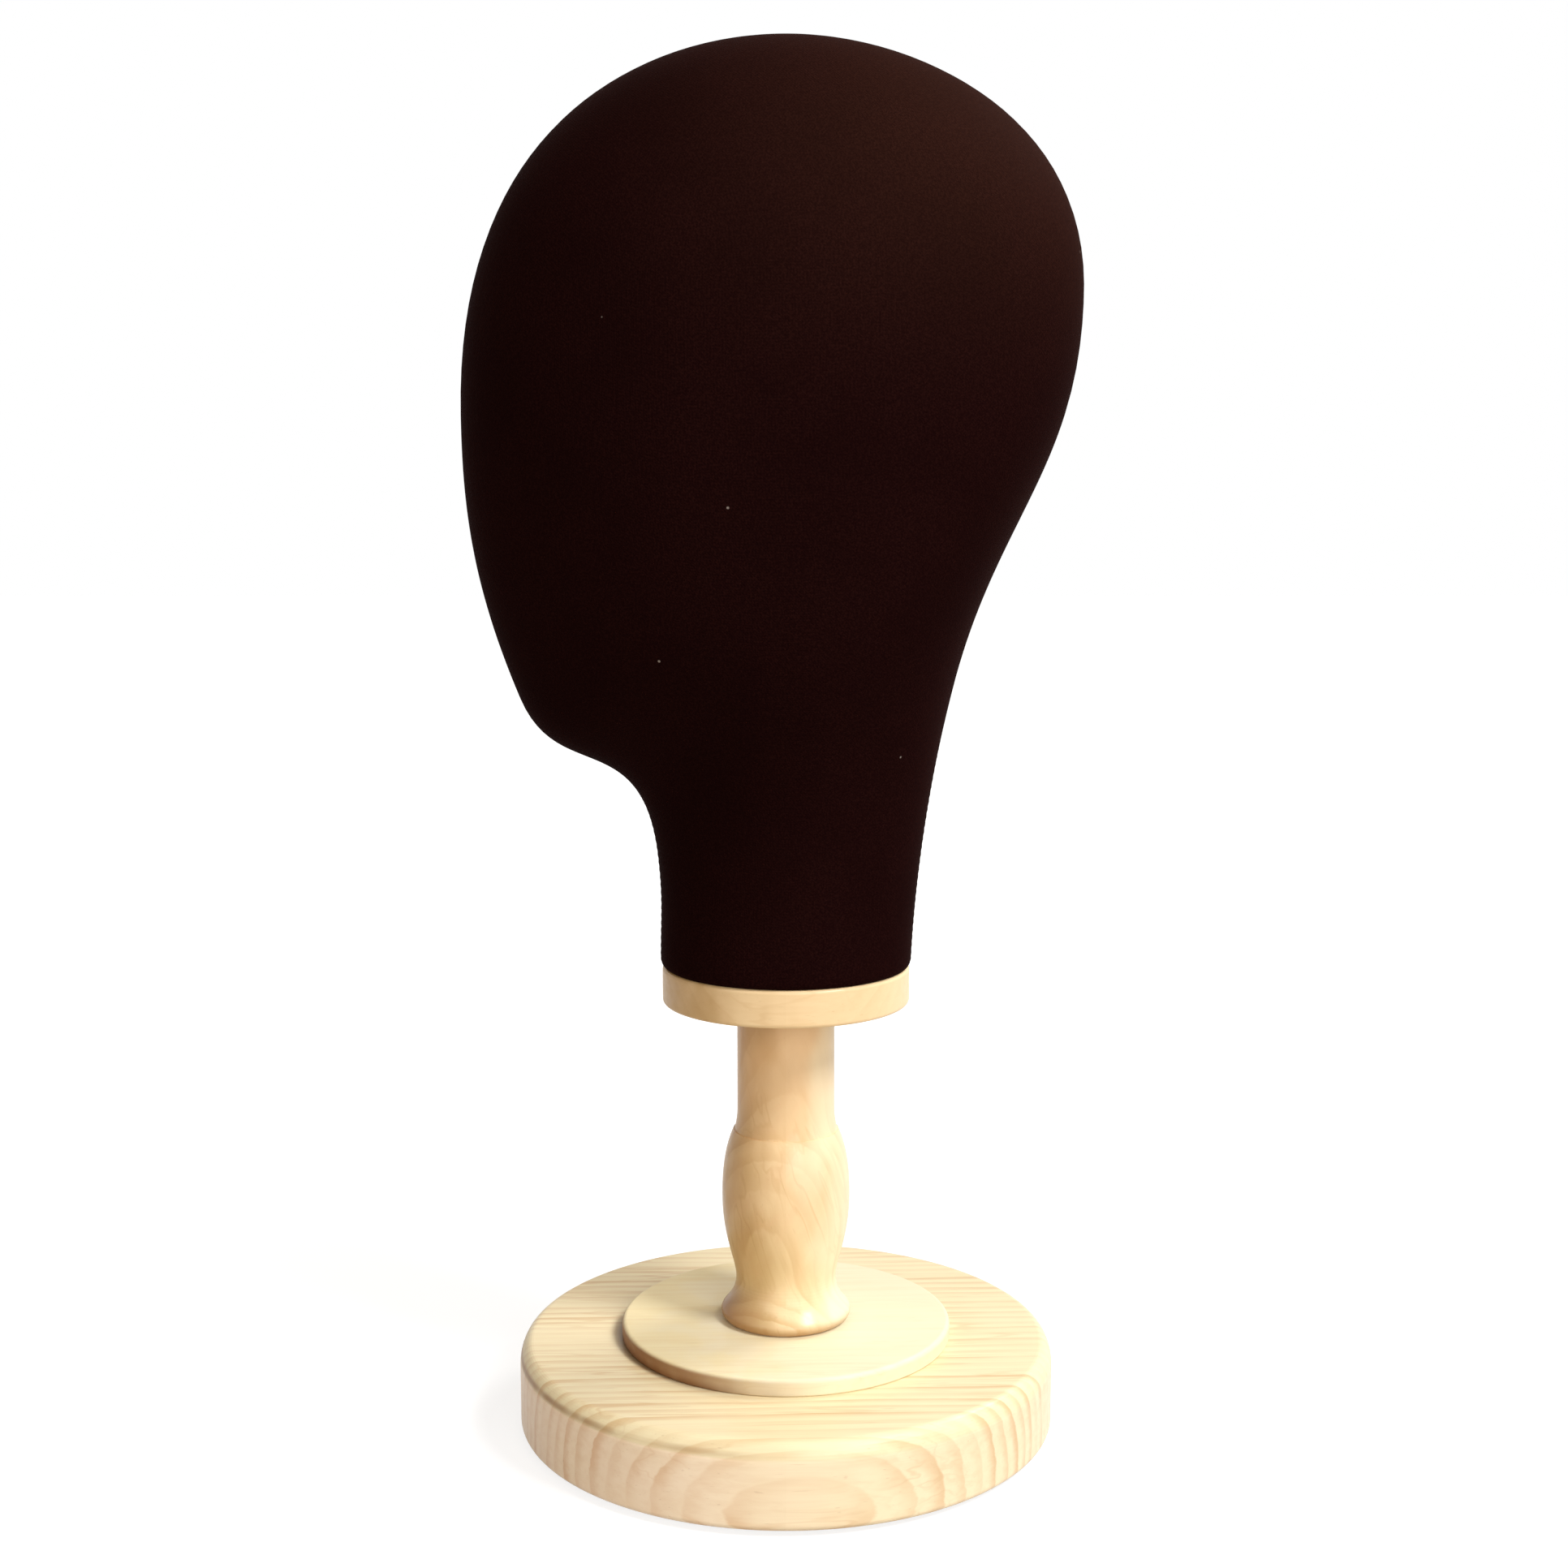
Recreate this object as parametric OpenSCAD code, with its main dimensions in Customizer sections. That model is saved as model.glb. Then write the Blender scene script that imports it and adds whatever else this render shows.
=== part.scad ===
// Wig stand: a faceless, fabric-covered head form on a turned wooden stand
// Millimetres. The origin is the middle of the underside, +Z is up and the face looks along -Y.

/* [Base] */
// Diameter of the base disc
base_d = 170; // [140:1:220]
// Thickness of the base disc
base_t = 26.5; // [19:0.5:32]
// How far in the base disc's rounded top edge reaches
base_top_round = 4.2; // [1:0.2:6]
// How far down the base disc's rounded top edge reaches
base_top_drop = 6.8; // [1:0.2:10]
// Rounding of the base disc's bottom edge
base_foot_round = 2; // [1:0.5:6]
// Thickness of the felt under the base
felt_t = 1.5; // [1:0.1:3]
// Distance from the felt's edge to the base's rim
felt_inset = 7; // [4:0.5:15]
// Diameter of the step disc that lies on the base
step_d = 105; // [80:1:130]
// Thickness of the step disc
step_t = 5.4; // [4:0.2:12]
// Rounding of the step disc's top edge
step_round = 1.5; // [0.5:0.1:3]

/* [Post] */
// Length of the post from the step disc to its top
post_len = 102.4; // [95:0.2:160]
// Diameter of the straight upper part
post_d = 30.8; // [27:0.2:38]
// Height above the step disc where the straight upper part begins
collar_h = 70; // [69:0.5:85]
// Diameter of the shoulder line
shoulder_d = 33.4; // [30:0.2:40]
// Height of the shoulder line above the step disc
shoulder_h = 62; // [60:0.5:68]
// Width of the small ledge that the tool left on the shoulder line
shoulder_ledge = 0.4; // [0.1:0.1:1]
// Diameter of the belly
belly_d = 40.6; // [36:0.2:48]
// Height of the belly above the step disc
belly_h = 40.5; // [38:0.5:50]
// Diameter of the waist
waist_d = 31.8; // [27:0.2:36]
// Height of the waist above the step disc
waist_h = 13.5; // [12:0.5:22]
// Diameter of the foot's rim
foot_d = 41.4; // [38:0.2:50]
// Height of the foot's rim above the step disc
foot_rim_h = 2.6; // [2:0.1:6]
// Rounding under the foot's rim
foot_round = 2.4; // [1:0.2:4]
// Diameter of the tenon under the foot
tenon_d = 22; // [19:0.5:28]
// Depth of the tenon's mortise in the base disc
tenon_depth = 6; // [4:0.5:8]

/* [Base fixing] */
// Diameter of the bolt that draws the post down
bolt_d = 8; // [6:1:9]
// Length of the bolt under its head
bolt_len = 45; // [38:1:55]
// Width of the bolt's hex head across its flats
bolt_head_w = 13; // [12:0.5:16]
// Height of the bolt's head
bolt_head_h = 5.3; // [4:0.1:6]
// Diameter of the washer under the bolt's head
base_washer_d = 24; // [20:1:30]
// Thickness of the washer under the bolt's head
base_washer_t = 1.6; // [1:0.1:2.5]
// Room round the washer and under the bolt's head in the counterbore
counterbore_room = 2; // [1:0.5:3]
// Diameter of the threaded insert in the post
insert_d = 12; // [11.5:0.5:15]
// Length of the threaded insert
insert_len = 20; // [12:1:25]

/* [Swivel] */
// Diameter of the peg that the head turns on
peg_d = 18; // [14:0.5:20]
// Depth of the peg in the post
peg_seat = 40; // [25:1:48]
// Rise of the peg above the underside of the neck plate
peg_rise = 44; // [38:1:60]
// Chamfer on the peg's ends
peg_chamfer = 1.5; // [0.5:0.1:3]
// Thickness of the washer between the post and the neck plate
swivel_washer_t = 1.2; // [0.8:0.1:2]
// Distance from the washer's edge to the edge of the post's top
swivel_washer_inset = 1.2; // [0.6:0.1:2]

/* [Neck] */
// Diameter of the covered neck at its foot
neck_d = 78.4; // [72:0.2:90]
// Thickness of the neck plate
plate_t = 11.6; // [8:0.2:18]
// Distance from the neck plate's rim to the covered neck's outside
plate_inset = 0.4; // [0.2:0.1:3]
// Rounding of the neck plate's edges
plate_round = 1.2; // [0.5:0.1:2.5]
// Diameter of the wooden plug in the neck
plug_d = 56; // [52:0.5:60]
// Wood left above the peg's socket in the plug
plug_cap = 22; // [10:1:30]
// Number of screws that hold the plate to the plug
screw_count = 3; // [3:1:6]
// Diameter of the circle that the screws stand on
screw_circle_d = 44; // [42:0.5:46]
// Diameter of a screw's shank
screw_d = 4; // [3:0.5:5]
// Diameter of a screw's countersunk head
screw_head_d = 8; // [7:0.5:9]
// Length of a screw with its head
screw_len = 32; // [24:1:40]

/* [Head] */
// Height of the head form from the foot of the neck to the crown
head_h = 281.2; // [262:0.1:300]
// Greatest width of the head, at the temples
head_w = 148; // [136:1:170]
// Height of the temples above the foot of the neck
temple_h = 196; // [180:1:210]
// Width of the jaw where it meets the neck
jaw_w = 106; // [90:1:110]
// Height of the jaw above the foot of the neck
jaw_h = 80; // [66:1:84]
// How far the jaw line rises from the chin to the sides of the neck
jaw_rise = 26; // [10:1:36]
// Reach of the brow in front of the post's axis
brow_reach = 98.2; // [90:0.1:108]
// Height of the brow above the foot of the neck
brow_h = 170; // [158:1:186]
// Reach of the chin in front of the post's axis
chin_reach = 82; // [76:0.5:88]
// Height of the chin above the foot of the neck
chin_h = 84; // [76:1:92]
// How far the throat stands out past the foot of the neck
throat_swell = 0.6; // [0.2:0.2:3]
// Height of the throat above the foot of the neck
throat_h = 34; // [28:1:40]
// Reach of the back of the head behind the post's axis
occiput_reach = 89.3; // [80:0.1:98]
// Height of the back of the head above the foot of the neck
occiput_h = 207; // [190:1:216]
// How far the nape stands out past the foot of the neck
nape_swell = 12.4; // [9:0.2:16]
// Height of the nape above the foot of the neck
nape_h = 88; // [78:1:98]
// Fullness of the crown's top: more is flatter
crown_pull = 0.42; // [0.36:0.01:0.52]
// Fullness of the head's level sections: 2 is an ellipse, and more is squarer
section_fullness = 2.2; // [2:0.05:2.6]
// Thickness of the fabric cover with its backing
cover_t = 1; // [0.6:0.1:1.6]
// Rounding of the cover where it turns under the neck
hem_round = 2; // [1.5:0.1:4]

/* [Fits] */
// Radial clearance of the peg in its two sockets
running_gap = 0.05; // [0.02:0.01:0.1]
// Clearance round pieces that are glued, screwed or stretched in place
fixed_gap = 0.2; // [0.1:0.05:0.3]

/* [Hidden] */
$fn = 96;

// Levels of the stack, from the table upwards
base_z = felt_t;
step_z = base_z + base_t;
post_z = step_z + step_t;
post_top_z = post_z + post_len;
plate_z = post_top_z + swivel_washer_t;
neck_z = plate_z + plate_t;

// Bolted joint under the base
counterbore_d = base_washer_d + 2 * counterbore_room;
counterbore_depth = counterbore_room + bolt_head_h + base_washer_t;
bolt_seat_z = base_z + counterbore_depth - base_washer_t;
bolt_end_z = bolt_seat_z + bolt_len;
tenon_z = step_z - tenon_depth;

// Room past the ends of the bolt, peg and screws, and how far a cut runs past a face
end_gap = 1;
overcut = 1;

// Peg and its sockets
peg_foot_z = post_top_z - peg_seat;
peg_top_z = plate_z + peg_rise;
plug_len = peg_top_z + end_gap - neck_z + plug_cap;

// Radii of the neck and of the fabric's hem round the plug
neck_r = neck_d / 2;
plate_r = neck_r - plate_inset;
hem_gap = 1;
hem_r = plug_d / 2 + fixed_gap + hem_gap;
core_inset = cover_t + fixed_gap;

// Colours
pale_wood = [0.90, 0.77, 0.56];
cream_wood = [0.95, 0.86, 0.66];
dark_fabric = [0.10, 0.04, 0.04];
foam_white = [0.90, 0.88, 0.82];
felt_brown = [0.24, 0.17, 0.12];
steel = [0.70, 0.71, 0.73];
brass_yellow = [0.78, 0.62, 0.30];
nylon_white = [0.92, 0.91, 0.88];

// Smooth outlines in the half plane of reach and height
// A knot is [reach, height, lean, pull below, pull above]. Lean is the outline's angle from the
// vertical, outwards, and a pull is how far the curve keeps to it, as a share of the way to the next knot.
round_pull = 0.55;

function lean_dir(lean) = [sin(lean), cos(lean)];

function handle(way, lean, pull) = lean_dir(lean) * pull * abs(way * lean_dir(lean));

function span(lower, upper) =
  let (
    a = [lower[0], lower[1]],
    b = [upper[0], upper[1]]
  )
  [a, a + handle(b - a, lower[2], lower[4]), b - handle(b - a, upper[2], upper[3]), b];

function cubic(p, t) =
  pow(1 - t, 3) * p[0] + 3 * pow(1 - t, 2) * t * p[1] + 3 * (1 - t) * t * t * p[2] + pow(t, 3) * p[3];

function cubic_dir(p, t) =
  pow(1 - t, 2) * (p[1] - p[0]) + 2 * (1 - t) * t * (p[2] - p[1]) + t * t * (p[3] - p[2]);

// A point of the curve, moved inwards, square to it
function inset_point(p, t, inset) =
  let (along = cubic_dir(p, t) / norm(cubic_dir(p, t)))
  cubic(p, t) - inset * [along[1], -along[0]];

function outline(knots, steps, inset = 0) = [
  for (i = [0 : len(knots) - 2])
    for (j = [(i == 0 ? 0 : 1) : steps[i]])
      inset_point(span(knots[i], knots[i + 1]), j / steps[i], inset)
];

// Reach of an outline at a height
function reach_table(points) = [for (p = points) [p[1], p[0]]];

// Outlines of the head form: front, back and side
hem_knots = [
  [neck_r - hem_round, 0, 90, 0, round_pull],
];

front_knots = concat(hem_knots, [
  [neck_r, hem_round, 0, round_pull, 0.40],
  [neck_r + throat_swell, throat_h, 6, 0.45, 0.79],
  [chin_reach, chin_h, 22, 0.48, 0.45],
  [brow_reach, brow_h, 0, 0.30, 0.78],
  [0, head_h, -90, crown_pull, 0],
]);
front_steps = [3, 4, 12, 9, 12];

back_knots = concat(hem_knots, [
  [neck_r, hem_round, 2.5, round_pull, 0.26],
  [neck_r + nape_swell, nape_h, 13.5, 0.39, 0.43],
  [occiput_reach, occiput_h, 0, 0.44, 0.70],
  [0, head_h, -90, crown_pull, 0],
]);

side_knots = concat(hem_knots, [
  [neck_r, hem_round, 0, round_pull, 0.50],
  [jaw_w / 2, jaw_h, 24, 0.36, 0.30],
  [head_w / 2, temple_h, 0, 0.46, 0.72],
  [0, head_h, -90, crown_pull, 0],
]);
side_steps = [8, 40, 40, 40];

// Level sections of the head form
head_sides = 48;

function squareness(side) =
  2 + (section_fullness - 2) * max(0, min(1, (side - neck_r) / (head_w / 2 - neck_r)));

function bend(value, power) = sign(value) * pow(abs(value), power);

// The chin's underside starts higher up towards the sides, so the jaw line rises from the chin
function front_reach(h, across, table) =
  let (lower = max(h - jaw_rise * across * across, min(h, throat_h)))
  min(lookup(h, table), lookup(lower, table));

function section(h, front_table, back, side) =
  let (power = 2 / squareness(side))
  [
    for (k = [0 : head_sides - 1])
      let (
        across = cos(360 * k / head_sides),
        along = sin(360 * k / head_sides),
        reach = along < 0 ? front_reach(h, across, front_table) : back
      )
      [side * bend(across, power), reach * bend(along, power), h]
  ];

function head_rings(inset) =
  let (
    front = outline(front_knots, front_steps, inset),
    front_table = reach_table(front),
    back = reach_table(outline(back_knots, side_steps, inset)),
    side = reach_table(outline(side_knots, side_steps, inset))
  )
  [
    for (i = [0 : len(front) - 2])
      let (h = front[i][1])
      section(h, front_table, lookup(h, back), lookup(h, side))
  ];

function level_ring(r, h) = [
  for (k = [0 : head_sides - 1])
    [r * cos(360 * k / head_sides), r * sin(360 * k / head_sides), h]
];

function joined(rings) = [for (ring = rings) for (p = ring) p];

// Triangles between rings that follow each other, and from the last ring to one point
function ring_faces(count, first) = [
  for (i = [0 : count - 2])
    for (k = [0 : head_sides - 1])
      let (
        a = first + i * head_sides + k,
        b = first + i * head_sides + (k + 1) % head_sides
      )
      each [[a, a + head_sides, b + head_sides], [a, b + head_sides, b]]
];

function cap_faces(ring_start, tip) = [
  for (k = [0 : head_sides - 1])
    [ring_start + k, tip, ring_start + (k + 1) % head_sides]
];

function turned_over(faces) = [for (f = faces) [f[2], f[1], f[0]]];

// Closed head form, moved inwards from the cover's outside
module head_form(inset) {
  rings = head_rings(inset);
  tip = len(rings) * head_sides;
  polyhedron(
    points = concat(joined(rings), [[0, 0, head_h - inset]]),
    faces = concat(
      [[for (k = [0 : head_sides - 1]) k]],
      ring_faces(len(rings), 0),
      cap_faces(tip - head_sides, tip)
    )
  );
}

// Skin of the head form with a hem turned under the neck
module head_skin() {
  outer = concat([level_ring(hem_r, 0)], head_rings(0));
  inner = concat([level_ring(hem_r, cover_t)], head_rings(cover_t));
  outer_tip = len(outer) * head_sides;
  inner_start = outer_tip + 1;
  inner_tip = inner_start + len(inner) * head_sides;
  hem_wall = [
    for (k = [0 : head_sides - 1])
      let (m = (k + 1) % head_sides)
      each [[k, m, inner_start + m], [k, inner_start + m, inner_start + k]]
  ];
  polyhedron(
    points = concat(
      joined(outer), [[0, 0, head_h]],
      joined(inner), [[0, 0, head_h - cover_t]]
    ),
    faces = concat(
      ring_faces(len(outer), 0),
      cap_faces(outer_tip - head_sides, outer_tip),
      turned_over(ring_faces(len(inner), inner_start)),
      turned_over(cap_faces(inner_tip - head_sides, inner_tip)),
      hem_wall
    )
  );
}

// Turned shapes
edge_steps = 10;

function edge_arc(r, h, round, drop, from) = [
  for (i = [0 : edge_steps])
    let (a = from + 90 * i / edge_steps)
    [r + round * cos(a), h + drop * sin(a)]
];

// Disc on the axis with a rounded bottom and top edge
module turned_disc(r, t, foot_round, top_round, top_drop) {
  rotate_extrude()
    polygon(concat(
      [[0, 0]],
      edge_arc(r - foot_round, foot_round, foot_round, foot_round, -90),
      edge_arc(r - top_round, t - top_drop, top_round, top_drop, 0),
      [[0, t]]
    ));
}

// Bore along the axis from one level to another
module bore(d, from_z, to_z) {
  translate([0, 0, from_z])
    cylinder(h = to_z - from_z, d = d);
}

module at_screws() {
  for (i = [0 : screw_count - 1])
    rotate([0, 0, 90 + 360 * i / screw_count])
      translate([screw_circle_d / 2, 0, plate_z])
        children();
}

// Countersunk screw shape that points up, with room round it
module screw_shape(room, len) {
  sink_h = (screw_head_d - screw_d) / 2;
  cylinder(h = sink_h, d1 = screw_head_d + 2 * room, d2 = screw_d + 2 * room);
  cylinder(h = len, d = screw_d + 2 * room);
}

// Sub-parts
module base_felt() {
  color(felt_brown)
    cylinder(h = felt_t, d = base_d - 2 * felt_inset);
}

module base_disc() {
  color(pale_wood)
    difference() {
      translate([0, 0, base_z])
        turned_disc(base_d / 2, base_t, base_foot_round, base_top_round, base_top_drop);
      bore(counterbore_d, base_z - overcut, base_z + counterbore_depth);
      bore(bolt_d + 2 * fixed_gap, base_z, step_z);
      bore(tenon_d + 2 * fixed_gap, tenon_z - fixed_gap, step_z + overcut);
    }
}

module base_washer() {
  color(steel)
    difference() {
      bore(base_washer_d, bolt_seat_z, bolt_seat_z + base_washer_t);
      bore(bolt_d + 2 * fixed_gap, bolt_seat_z - overcut, bolt_seat_z + base_washer_t + overcut);
    }
}

module base_bolt() {
  color(steel) {
    translate([0, 0, bolt_seat_z - bolt_head_h])
      cylinder(h = bolt_head_h, d = bolt_head_w / cos(30), $fn = 6);
    bore(bolt_d, bolt_seat_z - bolt_head_h / 2, bolt_end_z);
  }
}

module step_disc() {
  color(cream_wood)
    difference() {
      translate([0, 0, step_z])
        turned_disc(step_d / 2, step_t, step_round / 2, step_round, step_round);
      bore(tenon_d + 2 * fixed_gap, step_z - overcut, post_z + overcut);
    }
}

// Turned outline of the post above the step disc: foot, waist and belly, then shoulder and collar
post_knots = [
  [foot_d / 2 - foot_round, 0, 90, 0, round_pull],
  [foot_d / 2, foot_rim_h, 0, round_pull, 0.20],
  [waist_d / 2, waist_h, 0, 0.60, 0.20],
  [belly_d / 2, belly_h, 0, 0.52, 0.45],
  [shoulder_d / 2, shoulder_h, -24, 0.28, 0],
];
post_steps = [8, 16, 20, 16];
collar_knots = [
  [shoulder_d / 2 - shoulder_ledge, shoulder_h, -14, 0, 0.30],
  [post_d / 2, collar_h, 0, 0.45, 0],
];
collar_steps = [10];

module post() {
  tenon_r = tenon_d / 2;
  color(pale_wood)
    difference() {
      translate([0, 0, post_z])
        rotate_extrude()
          polygon(concat(
            [[0, tenon_z - post_z], [tenon_r, tenon_z - post_z], [tenon_r, 0]],
            outline(post_knots, post_steps),
            outline(collar_knots, collar_steps),
            [[post_d / 2, post_len], [0, post_len]]
          ));
      bore(insert_d + 2 * fixed_gap, tenon_z - overcut, tenon_z + insert_len + fixed_gap);
      bore(bolt_d + 2 * fixed_gap, tenon_z, bolt_end_z + end_gap);
      bore(peg_d + 2 * running_gap, peg_foot_z - end_gap, post_top_z + overcut);
    }
}

module post_insert() {
  color(brass_yellow)
    difference() {
      bore(insert_d, tenon_z, tenon_z + insert_len);
      bore(bolt_d + 2 * running_gap, tenon_z - overcut, tenon_z + insert_len + overcut);
    }
}

module pivot_peg() {
  r = peg_d / 2;
  color(cream_wood)
    rotate_extrude()
      polygon([
        [0, peg_foot_z],
        [r - peg_chamfer, peg_foot_z],
        [r, peg_foot_z + peg_chamfer],
        [r, peg_top_z - peg_chamfer],
        [r - peg_chamfer, peg_top_z],
        [0, peg_top_z]
      ]);
}

module swivel_washer() {
  color(nylon_white)
    difference() {
      bore(post_d - 2 * swivel_washer_inset, post_top_z, plate_z);
      bore(peg_d + 2 * fixed_gap, post_top_z - overcut, plate_z + overcut);
    }
}

module neck_plate() {
  color(pale_wood)
    difference() {
      translate([0, 0, plate_z])
        turned_disc(plate_r, plate_t, plate_round, plate_round, plate_round);
      bore(peg_d + 2 * running_gap, plate_z - overcut, neck_z + overcut);
      at_screws()
        screw_shape(fixed_gap, plate_t + overcut);
    }
}

module neck_plug() {
  color(cream_wood)
    difference() {
      bore(plug_d, neck_z, neck_z + plug_len);
      bore(peg_d + 2 * running_gap, neck_z - overcut, peg_top_z + end_gap);
      at_screws()
        screw_shape(fixed_gap, screw_len + end_gap);
    }
}

module neck_screws() {
  recess_len = screw_head_d / 2;
  recess_w = screw_d / 5;
  recess_depth = screw_d / 4;
  color(steel)
    at_screws()
      difference() {
        screw_shape(0, screw_len);
        for (turn = [0, 90])
          rotate([0, 0, turn])
            cube([recess_len, recess_w, 2 * recess_depth], center = true);
      }
}

module head_core() {
  color(foam_white)
    difference() {
      translate([0, 0, neck_z])
        head_form(core_inset);
      bore(plug_d + 2 * fixed_gap, neck_z, neck_z + plug_len + fixed_gap);
    }
}

module head_cover() {
  color(dark_fabric)
    translate([0, 0, neck_z])
      head_skin();
}

base_felt();
base_disc();
base_bolt();
base_washer();
step_disc();
post();
post_insert();
pivot_peg();
swivel_washer();
neck_plate();
neck_plug();
neck_screws();
head_core();
head_cover();
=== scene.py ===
# Wig stand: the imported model, dressed and lit for the photograph's view
# Metres. +Z is up, the face looks along -Y, and the camera stands on +X.
import math

import bpy
import numpy as np
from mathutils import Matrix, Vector, noise


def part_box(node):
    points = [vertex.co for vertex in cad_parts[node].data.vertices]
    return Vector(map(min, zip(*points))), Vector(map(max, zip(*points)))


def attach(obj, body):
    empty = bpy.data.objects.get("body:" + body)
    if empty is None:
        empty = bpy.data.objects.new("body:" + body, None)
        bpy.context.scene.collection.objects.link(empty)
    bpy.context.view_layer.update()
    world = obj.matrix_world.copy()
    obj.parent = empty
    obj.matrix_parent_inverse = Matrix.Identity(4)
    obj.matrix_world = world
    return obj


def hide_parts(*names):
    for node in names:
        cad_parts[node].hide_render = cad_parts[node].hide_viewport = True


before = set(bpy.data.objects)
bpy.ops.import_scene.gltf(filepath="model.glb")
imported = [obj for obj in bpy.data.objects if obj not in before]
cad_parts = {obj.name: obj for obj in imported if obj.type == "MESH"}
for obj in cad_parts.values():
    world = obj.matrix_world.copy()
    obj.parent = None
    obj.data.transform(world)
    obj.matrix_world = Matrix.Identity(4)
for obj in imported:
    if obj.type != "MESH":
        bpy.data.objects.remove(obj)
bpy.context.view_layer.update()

MM = 0.001

# Camera, from the rims of the round pieces in the photograph
CAMERA_AT = (0.6675, -0.0006, 0.2934)
CAMERA_PITCH_DOWN = 7.49
CAMERA_LENS = 49.62
SENSOR_W = 36.0

# Head form, with the same outlines as the solids
NECK_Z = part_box("head_cover")[0].z
NECK_R = 39.2 * MM
HEM_ROUND = 2 * MM
HEM_R = 29.2 * MM
COVER_T = 1 * MM
HEAD_H = 281.2 * MM
HEAD_HALF_W = 74 * MM
SECTION_FULLNESS = 2.2
THROAT_H = 34 * MM
JAW_RISE = 26 * MM
CROWN_PULL = 0.42
ROUND_PULL = 0.55

# A knot is (reach, height, lean from the vertical, pull below, pull above)
HEM_KNOT = (NECK_R - HEM_ROUND, 0, 90, 0, ROUND_PULL)
CROWN_KNOT = (0, HEAD_H, -90, CROWN_PULL, 0)
FRONT_KNOTS = [
    HEM_KNOT,
    (NECK_R, HEM_ROUND, 0, ROUND_PULL, 0.40),
    (NECK_R + 0.6 * MM, THROAT_H, 6, 0.45, 0.79),
    (82 * MM, 84 * MM, 22, 0.48, 0.45),
    (98.2 * MM, 170 * MM, 0, 0.30, 0.78),
    CROWN_KNOT,
]
BACK_KNOTS = [
    HEM_KNOT,
    (NECK_R, HEM_ROUND, 2.5, ROUND_PULL, 0.26),
    (NECK_R + 12.4 * MM, 88 * MM, 13.5, 0.39, 0.43),
    (89.3 * MM, 207 * MM, 0, 0.44, 0.70),
    CROWN_KNOT,
]
SIDE_KNOTS = [
    HEM_KNOT,
    (NECK_R, HEM_ROUND, 0, ROUND_PULL, 0.50),
    (53 * MM, 80 * MM, 24, 0.36, 0.30),
    (HEAD_HALF_W, 196 * MM, 0, 0.46, 0.72),
    CROWN_KNOT,
]
FRONT_STEPS = [5, 10, 24, 28, 36]
TABLE_STEPS = 120
HEAD_SIDES = 96


# Head outlines and level sections
def curve_between(lower, upper):
    """Four control points of the cubic curve from one knot to the next."""
    start, end = (np.array(knot[:2]) for knot in (lower, upper))
    points = [start]
    for knot, at, pull, way in ((lower, start, lower[4], 1), (upper, end, upper[3], -1)):
        lean = math.radians(knot[2])
        along = np.array([math.sin(lean), math.cos(lean)])
        points.append(at + way * along * pull * abs((end - start) @ along))
    points.append(end)
    return points


def outline(knots, steps, inset=0.0):
    """Points (reach, height) along the knots' curves, moved inwards by inset."""
    found = []
    for i, (lower, upper) in enumerate(zip(knots, knots[1:])):
        a, b, c, d = curve_between(lower, upper)
        for j in range(0 if i == 0 else 1, steps[i] + 1):
            t = j / steps[i]
            u = 1 - t
            place = u**3 * a + 3 * u * u * t * b + 3 * u * t * t * c + t**3 * d
            along = u * u * (b - a) + 2 * u * t * (c - b) + t * t * (d - c)
            along /= np.linalg.norm(along)
            found.append(place - inset * np.array([along[1], -along[0]]))
    return np.array(found)


def front_reach(height, across, front):
    """Reach of the face. The chin's underside starts higher up towards the sides."""
    lower = max(height - JAW_RISE * across * across, min(height, THROAT_H))
    return min(np.interp(h, front[:, 1], front[:, 0]) for h in (height, lower))


def level_section(height, front, back, side):
    """One level ring of the head form, fuller than an ellipse where the head is wide."""
    wide = min(1.0, max(0.0, (side - NECK_R) / (HEAD_HALF_W - NECK_R)))
    power = 2 / (2 + (SECTION_FULLNESS - 2) * wide)
    ring = []
    for k in range(HEAD_SIDES):
        turn = 2 * math.pi * k / HEAD_SIDES
        across, along = math.cos(turn), math.sin(turn)
        reach = front_reach(height, across, front) if along < 0 else back
        x = side * math.copysign(abs(across) ** power, across)
        y = reach * math.copysign(abs(along) ** power, along)
        ring.append((x, y, NECK_Z + height))
    return ring


def head_rings(inset):
    """Level rings from the hem's bend to just below the crown."""
    front = outline(FRONT_KNOTS, FRONT_STEPS, inset)
    back = outline(BACK_KNOTS, [TABLE_STEPS] * 4, inset)
    side = outline(SIDE_KNOTS, [TABLE_STEPS] * 4, inset)
    rings = []
    for height in front[:-1, 1]:
        back_reach = np.interp(height, back[:, 1], back[:, 0])
        side_reach = np.interp(height, side[:, 1], side[:, 0])
        rings.append(level_section(height, front, back_reach, side_reach))
    return rings


def round_ring(radius, height):
    turns = [2 * math.pi * k / HEAD_SIDES for k in range(HEAD_SIDES)]
    return [(radius * math.cos(t), radius * math.sin(t), NECK_Z + height) for t in turns]


# Mesh helpers
def new_piece(name, points, faces, body, material):
    """A smooth mesh piece that rides on a body."""
    mesh = bpy.data.meshes.new(name)
    mesh.from_pydata([tuple(p) for p in points], [], faces)
    mesh.validate()
    mesh.shade_smooth()
    mesh.materials.append(material)
    piece = bpy.data.objects.new(name, mesh)
    bpy.context.scene.collection.objects.link(piece)
    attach(piece, body)
    return piece


def ring_faces(count, sides, first):
    """Quads between rings that follow each other."""
    faces = []
    for i in range(count - 1):
        for k in range(sides):
            a = first + i * sides + k
            b = first + i * sides + (k + 1) % sides
            faces.append((a, b, b + sides, a + sides))
    return faces


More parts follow.
